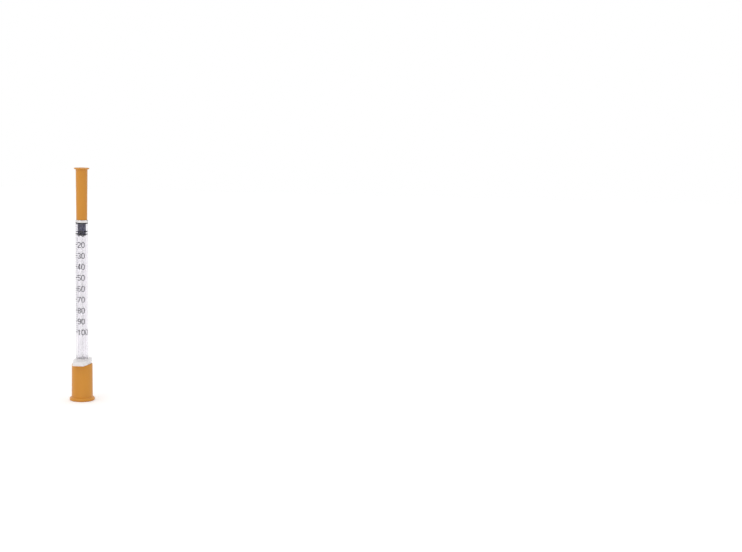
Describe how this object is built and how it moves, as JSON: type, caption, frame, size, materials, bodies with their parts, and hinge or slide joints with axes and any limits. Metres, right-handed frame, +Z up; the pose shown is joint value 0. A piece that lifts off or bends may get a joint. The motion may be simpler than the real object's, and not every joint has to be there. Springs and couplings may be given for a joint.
{
  "type": "insulin syringe",
  "caption": "Slim 1 mL syringe with a fixed needle, a printed scale from 10 to 100, a finger flange, and a push-on cap over the needle and another over the plunger.",
  "frame": {"origin": "middle of the foot's underside, on the surface that the syringe stands on", "axes": "+Z up the syringe's axis from the plunger cap to the needle shield; the finger flange is long in Y; the printed scale faces -Y"},
  "size_m": [0.0132, 0.018, 0.1227],
  "materials": {
    "orange_plastic": "smooth moulded polyethylene, soft sheen",
    "needle_steel": "drawn stainless steel, polished",
    "adhesive": "cured clear resin",
    "clear_plastic": "clear polypropylene, slightly hazy",
    "scale_ink": "pad-printed black ink",
    "stopper_rubber": "moulded rubber with silicone oil",
    "plunger_plastic": "white moulded polypropylene"
  },
  "bodies": {
    "plunger_cap": {"plunger_cap": "orange_plastic"},
    "plunger_rod": {"plunger_rod": "plunger_plastic"},
    "stopper": {"stopper": "stopper_rubber"},
    "barrel": {"barrel": "clear_plastic", "needle_cannula": "needle_steel", "cannula_adhesive": "adhesive", "scale_major_marks": "scale_ink", "scale_minor_marks": "scale_ink", "scale_numerals": "scale_ink"},
    "needle_shield": {"needle_shield": "orange_plastic"}
  },
  "joints": [
    {"name": "plunger_cap_pull", "type": "slide", "parent": "plunger_cap", "child": "plunger_rod", "axis": [0, 0, 1], "range_m": [0, 0.03]},
    {"name": "plunger_turn", "type": "hinge", "parent": "plunger_rod", "child": "stopper", "pos_m": [0, 0, 0.0882], "axis": [0, 0, 1], "continuous": true},
    {"name": "plunger_slide", "type": "slide", "parent": "stopper", "child": "barrel", "axis": [0, 0, 1], "range_m": [0, 0.05765]},
    {"name": "needle_shield_pull", "type": "slide", "parent": "barrel", "child": "needle_shield", "axis": [0, 0, 1], "range_m": [0, 0.04]}
  ]
}
